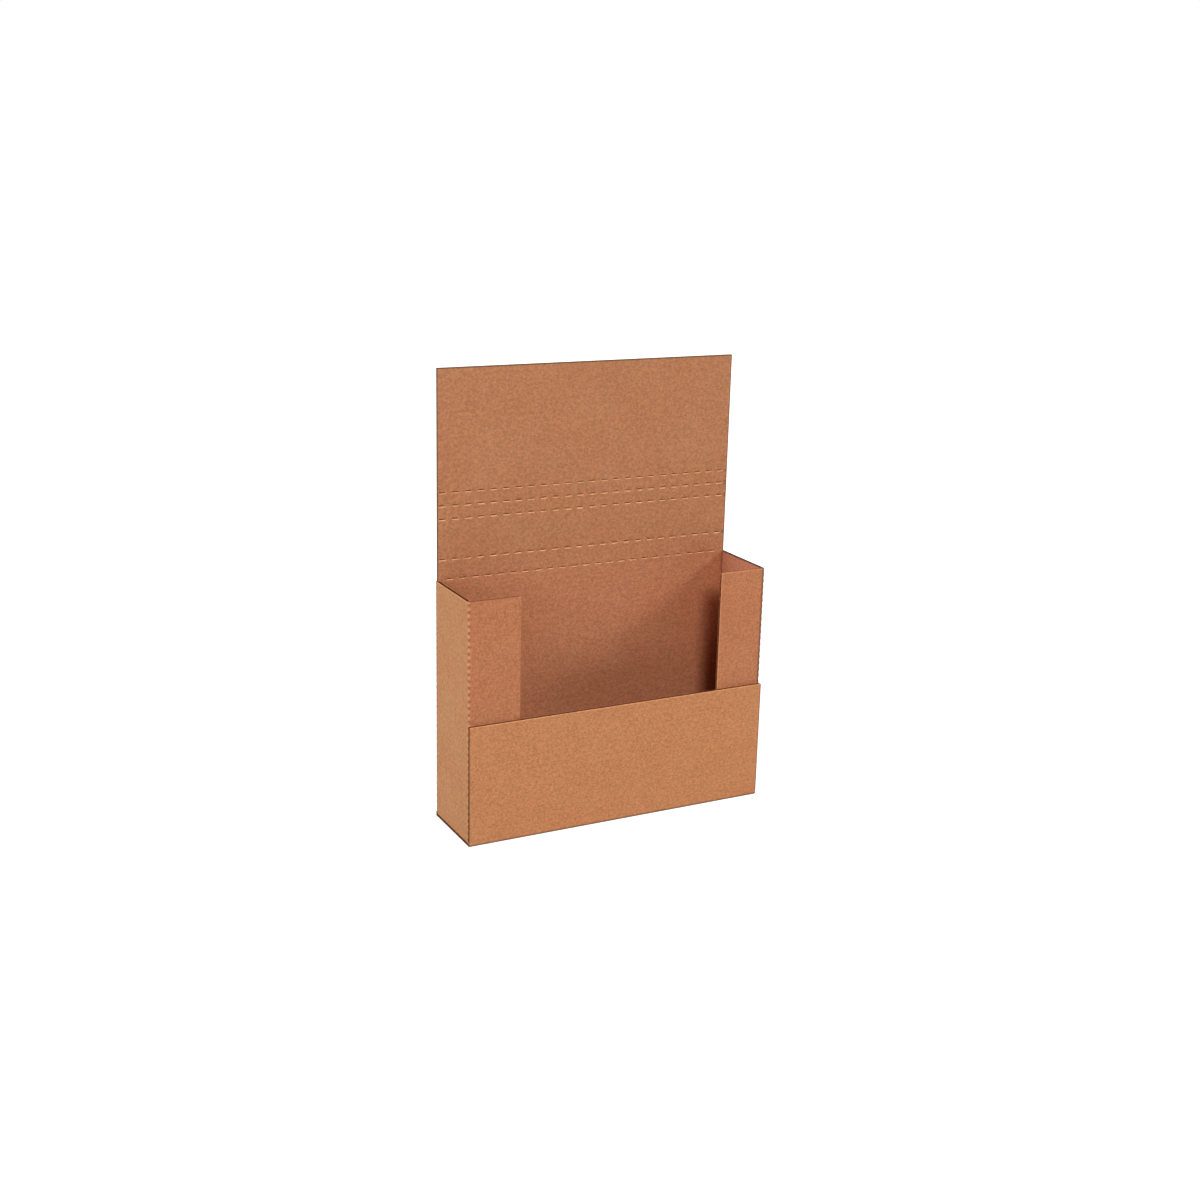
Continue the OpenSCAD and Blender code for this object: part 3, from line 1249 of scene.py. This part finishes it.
@dataclass
class FrontFlap:
    """The flap that folds up from the bottom wall, and the fold that carries it."""

    shop: Workshop
    turn: float = 1.06 * MM
    shoulder: float = 1.2 * MM
    pinch: float = 0.35 * MM
    squeeze: float = 0.7
    # The fold's inside face beside the pinched corner: distances from it, and how far it has sunk
    reach: tuple[float, ...] = (1.5 * MM, 1.0 * MM, 0.7 * MM, 0.45 * MM, 0.2 * MM)
    sink: tuple[float, ...] = (0.0, 0.0, 0.08 * MM, 0.2 * MM, 0.3 * MM)
    # How much of the painted shade the outside has at each point round the fold, from the bottom wall to
    # the flap
    underside_shade: tuple[float, ...] = (0, 1, 1, 1, 1, 1, 1, 0.8, 0.3, 0, 0)

    def build(self) -> list[bpy.types.Object]:
        """Builds the flap and its fold, and puts the flap on its body."""
        shop, sizes, board = self.shop, self.shop.sizes, self.shop.board
        mesh = shop.mesh()
        front, wide, seam, top = sizes.front_y, sizes.half_width, sizes.front_seam, sizes.front_flap_end
        course = Course(((front, seam), (front, top)), side=-1, free_end=True, step=board.step)
        # A painted highlight on the flap's top edge
        shop.panel(mesh, course, wide, top - seam, free_tone=shop.tones.cut_light)
        start, end = ((-wide, front + board.thickness / 2, height) for height in (seam, top))
        # The fluted sheet's tint is painted shade
        run, tint = (2 * wide, 0, 0), shop.tones.front_flutes
        shop.flutes.lay(mesh, start, end, (0, -1, 0), run, top - seam, tint)
        flap = mesh.build("front_flap_board")
        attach(flap, "front_flap")
        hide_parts("front_flap")
        return [flap, self._fold()]

    def _fold(self) -> bpy.types.Object:
        """Builds the crushed corner between the bottom wall and the flap."""
        shop, sizes, board = self.shop, self.shop.sizes, self.shop.board
        seam, radius, deep = sizes.front_seam, board.radius, board.thickness
        arc = [math.radians(angle) for angle in range(0, 91, 15)]
        outer = [(seam, 0.0), (radius + self.shoulder, 0.0)]
        outer += [(radius * (1 - math.sin(a)), radius * (1 - math.cos(a))) for a in arc]
        outer += [(0.0, radius + self.shoulder), (0.0, seam)]
        half = [(deep + reach, deep - sink) for reach, sink in zip(self.reach, self.sink)]
        corner = (deep - self.pinch, deep - self.pinch)
        inner = [*half, corner, *((b, a) for a, b in reversed(half))]
        runs = shop.runs(sizes.half_width)[:, None]
        closing = board.closing(sizes.half_width - np.abs(runs)) * self.squeeze
        faces = []
        for line, shrink in ((outer, closing), (inner, -closing)):
            y, z = np.array(line).T
            faces.append(lattice(runs, y + shrink + sizes.front_y, z + shrink))
        # Painted shade on the outside where the fold turns under; the inside face a little darker
        shades = 1 - (1 - shop.tones.underside_shade) * np.array(self.underside_shade)[:, None]
        mesh = shop.mesh()
        inside = shop.tones.fold_inside_darker
        mesh.slab(*faces, (Face.OUTSIDE, Face.INSIDE), shades, inner_tint=inside)
        fold = mesh.build("front_flap_fold")
        middle = Vector((0, sizes.front_y + deep / 2, deep / 2))
        across = Vector((0, -1, 1)).normalized() * self.turn
        middle - across
        middle + across
        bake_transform(fold)
        return fold


@dataclass
class Lid:
    """The lid's top panel and front panel, with the two folds that they turn at."""

    shop: Workshop
    half_fold: float = 1.2 * MM
    raised: float = 19.1 * MM
    middle: float = 12.4 * MM
    shallow: float = 25.0 * MM
    fold_margin: float = 9.3 * MM
    score_margin: float = 1.4 * MM

    def _stretch(self, mesh: BoardMesh, low: float, high: float, free: bool = False) -> None:
        """Lays liners and fluted sheet between two heights.

        Args:
            mesh: The mesh that they are added to.
            low: The lower height.
            high: The upper height.
            free: Whether the board is cut at the upper height.
        """
        shop, sizes, board = self.shop, self.shop.sizes, self.shop.board
        back, wide, phase = sizes.back_y, sizes.half_lid, sizes.wall_top - low
        course = Course(((back, low), (back, high)), side=1, free_end=free, step=board.step)
        # The lid's tint is painted light, as near_fold gives it
        tint = shop.tones.near_fold(course.stations(board).place[:, 1] - sizes.lid_fold)
        shop.panel(mesh, course, wide, phase, tint)
        start, end = ((-wide, back - board.thickness / 2, height) for height in (low, high))
        # The fluted sheet's tint is painted shade
        run, tint = (2 * wide, 0, 0), shop.tones.lid_flutes
        shop.flutes.lay(mesh, start, end, (0, 1, 0), run, phase, tint)

    def _band(self, mesh: BoardMesh, cuts: Cuts) -> None:
        """Lays the pressed board along one row of cuts."""
        # The lid's tint is painted light, as near_fold gives it
        tint = self.shop.tones.near_fold(cuts.height - self.shop.sizes.lid_fold)
        mesh.take(self.shop.bands.make(cuts), tint)

    def _top(self) -> bpy.types.Object:
        """Builds the top panel with its three spare score lines."""
        sizes = self.shop.sizes
        mesh = self.shop.mesh()
        low = sizes.lid_fold + self.half_fold
        for height, seed in (
            (sizes.lid_fold + self.raised, 11),
            (sizes.lid_front_fold - self.shallow, 12),
            (sizes.lid_front_fold - self.middle, 13),
        ):
            cuts = Cuts(height, self.score_margin, seed)
            self._stretch(mesh, low, height - cuts.reach)
            self._band(mesh, cuts)
            low = height + cuts.reach
        self._stretch(mesh, low, sizes.lid_front_fold - self.half_fold)
        top = mesh.build("lid_top_board")
        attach(top, "lid_top")
        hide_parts("lid_top")
        return top

    def _front(self) -> bpy.types.Object:
        """Builds the front panel, up to its free edge."""
        sizes = self.shop.sizes
        mesh = self.shop.mesh()
        self._stretch(mesh, sizes.lid_front_fold + self.half_fold, sizes.lid_end, free=True)
        front = mesh.build("lid_front_board")
        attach(front, "lid_front")
        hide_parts("lid_front")
        return front

    def _fold(self, name: str, cuts: Cuts, bodies: tuple[str, str]) -> bpy.types.Object:
        """Builds a perforated fold: the band of board along its row of cuts.

        Args:
            name: The piece's name.
            cuts: Its row of cuts.
            bodies: The body below it and the body above it. Not used.

        Returns:
            The object.
        """
        mesh = self.shop.mesh()
        self._band(mesh, cuts)
        fold = mesh.build(name)
        start = Vector((0, self.shop.sizes.inner_back_y, cuts.height - cuts.reach))
        end = Vector((0, self.shop.sizes.inner_back_y, cuts.height + cuts.reach))
        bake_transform(fold)
        return fold

    def build(self) -> list[bpy.types.Object]:
        """Builds the four pieces, and puts the top and the front panel on their bodies."""
        sizes, reach = self.shop.sizes, self.half_fold
        back_cuts = Cuts(sizes.lid_fold, self.fold_margin, 8, reach)
        front_cuts = Cuts(sizes.lid_front_fold, self.score_margin, 14, reach)
        return [
            self._fold("lid_fold", back_cuts, ("box_body", "lid_top")),
            self._top(),
            self._fold("lid_front_fold", front_cuts, ("lid_top", "lid_front")),
            self._front(),
        ]


@dataclass
class Lamp:
    """One soft lamp, aimed at the middle of the box."""

    name: str
    azimuth: float
    elevation: float
    distance: float
    size: float
    level: float

    def build(self, aim: Vector) -> None:
        """Makes the lamp. A level of 1 shows a white face that is turned to it as white.

        Args:
            aim: The point that it shines at.
        """
        back = toward(self.azimuth, self.elevation)
        data = bpy.data.lights.new(self.name, "AREA")
        data.shape = "DISK"
        data.size = self.size
        data.energy = self.level * math.pi**2 * self.distance**2
        made = bpy.data.objects.new(self.name, data)
        turned = back.to_track_quat("Z", "Y").to_matrix().to_4x4()
        made.matrix_world = Matrix.Translation(aim + back * self.distance) @ turned
        bpy.context.scene.collection.objects.link(made)


@dataclass
class Studio:
    """The pale floor, the lamps, the background and the camera."""

    sizes: BoxSizes
    azimuth: float = 27.691
    elevation: float = 15.991
    roll: float = 1.406
    frame_pixels: float = 1200.0
    focal_pixels: float = 1640.8
    distance: float = 5.0033
    slide: tuple[float, float] = (-0.0258, 0.0787)
    target: Color = (0.5, 0.1, 0.6)
    sensor: float = 36.0
    # The light all round the box
    ambient: float = 0.03
    # Half of the floor's width, its grey, and the darker grey on which the box's shadow is seen
    floor_half: float = 6.0
    floor_grey: float = 0.8
    shadow_grey: float = 0.35
    # The floor's own light in the middle, and between which distances it rises to white
    glow: float = 0.9
    glow_from: float = 0.3
    glow_to: float = 1.2

    def camera(self) -> None:
        """Makes the camera at the photographed view. Its distances are in widths of the box."""
        width = 2 * self.sizes.half_width
        forward = -toward(self.azimuth, self.elevation)
        roll = math.radians(self.roll)
        level = forward.cross(Vector((0, 0, 1))).normalized()
        upright = level.cross(forward)
        right = level * math.cos(roll) + upright * math.sin(roll)
        up = upright * math.cos(roll) - level * math.sin(roll)
        offset = right * self.slide[0] + up * self.slide[1] - forward * self.distance
        corner = Vector((-self.sizes.half_width, self.sizes.front_y, 0))
        data = bpy.data.cameras.new("camera")
        data.sensor_width = self.sensor
        data.lens = self.focal_pixels / self.frame_pixels * self.sensor
        data.clip_start, data.clip_end = 0.01, 50.0
        made = bpy.data.objects.new("camera", data)
        axes = Matrix((right, up, -forward)).transposed().to_4x4()
        made.matrix_world = Matrix.Translation(corner + width * (Vector(self.target) + offset)) @ axes
        bpy.context.scene.collection.objects.link(made)
        bpy.context.scene.camera = made

    def lamps(self) -> None:
        """Hangs the lamps. The key lamp stands where the shadow inside the box puts it."""
        aim = Vector((0, 0, 0.2))
        for lamp in (
            Lamp("key_lamp", 18.8, 28.8, 4.5, 0.98, 0.50),
            Lamp("right_lamp", -65.8, 31.0, 4.0, 0.8, 0.32),
            Lamp("left_lamp", 85.0, 10.0, 4.0, 1.6, 0.52),
            Lamp("top_lamp", 0.0, 75.0, 3.5, 2.0, 0.08),
            Lamp("back_lamp", 205.0, 30.0, 4.0, 2.0, 0.50),
        ):
            lamp.build(aim)

    @staticmethod
    def _seen(tree: NodeTree) -> Signal:
        """1 on the rays that show the background, and 0 on those that light the box."""
        rays = tree.node("ShaderNodeLightPath").outputs
        return Signal(tree, rays["Is Camera Ray"]) + rays["Is Glossy Ray"] + rays["Is Transmission Ray"]

    def world(self) -> None:
        """Lights the scene all round, and shows white behind the box."""
        world = bpy.data.worlds.new("studio")
        bpy.context.scene.world = world
        tree = NodeTree.of(world)
        strength = (self._seen(tree) > 0.5) * (1 - self.ambient) + self.ambient
        light = tree.out("ShaderNodeBackground", {"Color": (1, 1, 1, 1), "Strength": strength})
        tree.node("ShaderNodeOutputWorld", {"Surface": light})

    def floor(self) -> None:
        """Makes the floor, which shows white to the camera apart from a faint shadow by the box."""
        half = self.floor_half
        mesh = bpy.data.meshes.new("floor")
        corners = [(-half, -half, 0), (half, -half, 0), (half, half, 0), (-half, half, 0)]
        mesh.from_pydata(corners, [], [(0, 1, 2, 3)])
        material = bpy.data.materials.new("floor")
        tree = NodeTree.of(material)
        plain, pale = (
            tree.out("ShaderNodeBsdfDiffuse", {"Color": (grey, grey, grey, 1)})
            for grey in (self.floor_grey, self.shadow_grey)
        )
        place = {"Vector": tree.out("ShaderNodeTexCoord", output="Object")}
        values = {
            "Value": tree.out("ShaderNodeVectorMath", place, "Value", operation="LENGTH"),
            "From Min": self.glow_from, "From Max": self.glow_to, "To Min": self.glow, "To Max": 1.0,
        }
        level = tree.out("ShaderNodeMapRange", values, interpolation_type="SMOOTHSTEP")
        shine = tree.out("ShaderNodeEmission", {"Color": level})
        bright = tree.out("ShaderNodeAddShader", {"Shader": pale, "Shader_001": shine})
        values = {"Fac": self._seen(tree), "Shader": plain, "Shader_001": bright}
        tree.node("ShaderNodeOutputMaterial", {"Surface": tree.out("ShaderNodeMixShader", values)})
        mesh.materials.append(material)
        made = bpy.data.objects.new("floor", mesh)
        bpy.context.scene.collection.objects.link(made)

    def build(self) -> None:
        """Makes everything around the box."""
        bpy.context.scene.view_settings.view_transform = "Standard"
        self.camera()
        self.lamps()
        self.world()
        self.floor()


def main() -> None:
    """Builds the studio and the box."""
    logging.basicConfig(level=logging.INFO, format="%(name)s: %(message)s")
    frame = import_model()
    sizes = BoxSizes.from_frame(frame)
    board = Board(thickness=sizes.thickness)
    tones = Tones()
    Studio(sizes).build()
    papers = {face: paper.build() for face, paper in PAPERS.items()}
    flutes = FlutedSheet(board, papers, tones)
    bands = PerforatedBand(sizes, board, papers, tones)
    shop = Workshop(sizes, board, papers, tones, flutes, bands)
    for piece in (BoxBody(shop).build(), *FrontFlap(shop).build(), *Lid(shop).build()):
        LOG.info("%s: %d faces", piece.name, len(piece.data.polygons))
    bpy.context.view_layer.update()


if __name__ == "__main__":
    main()
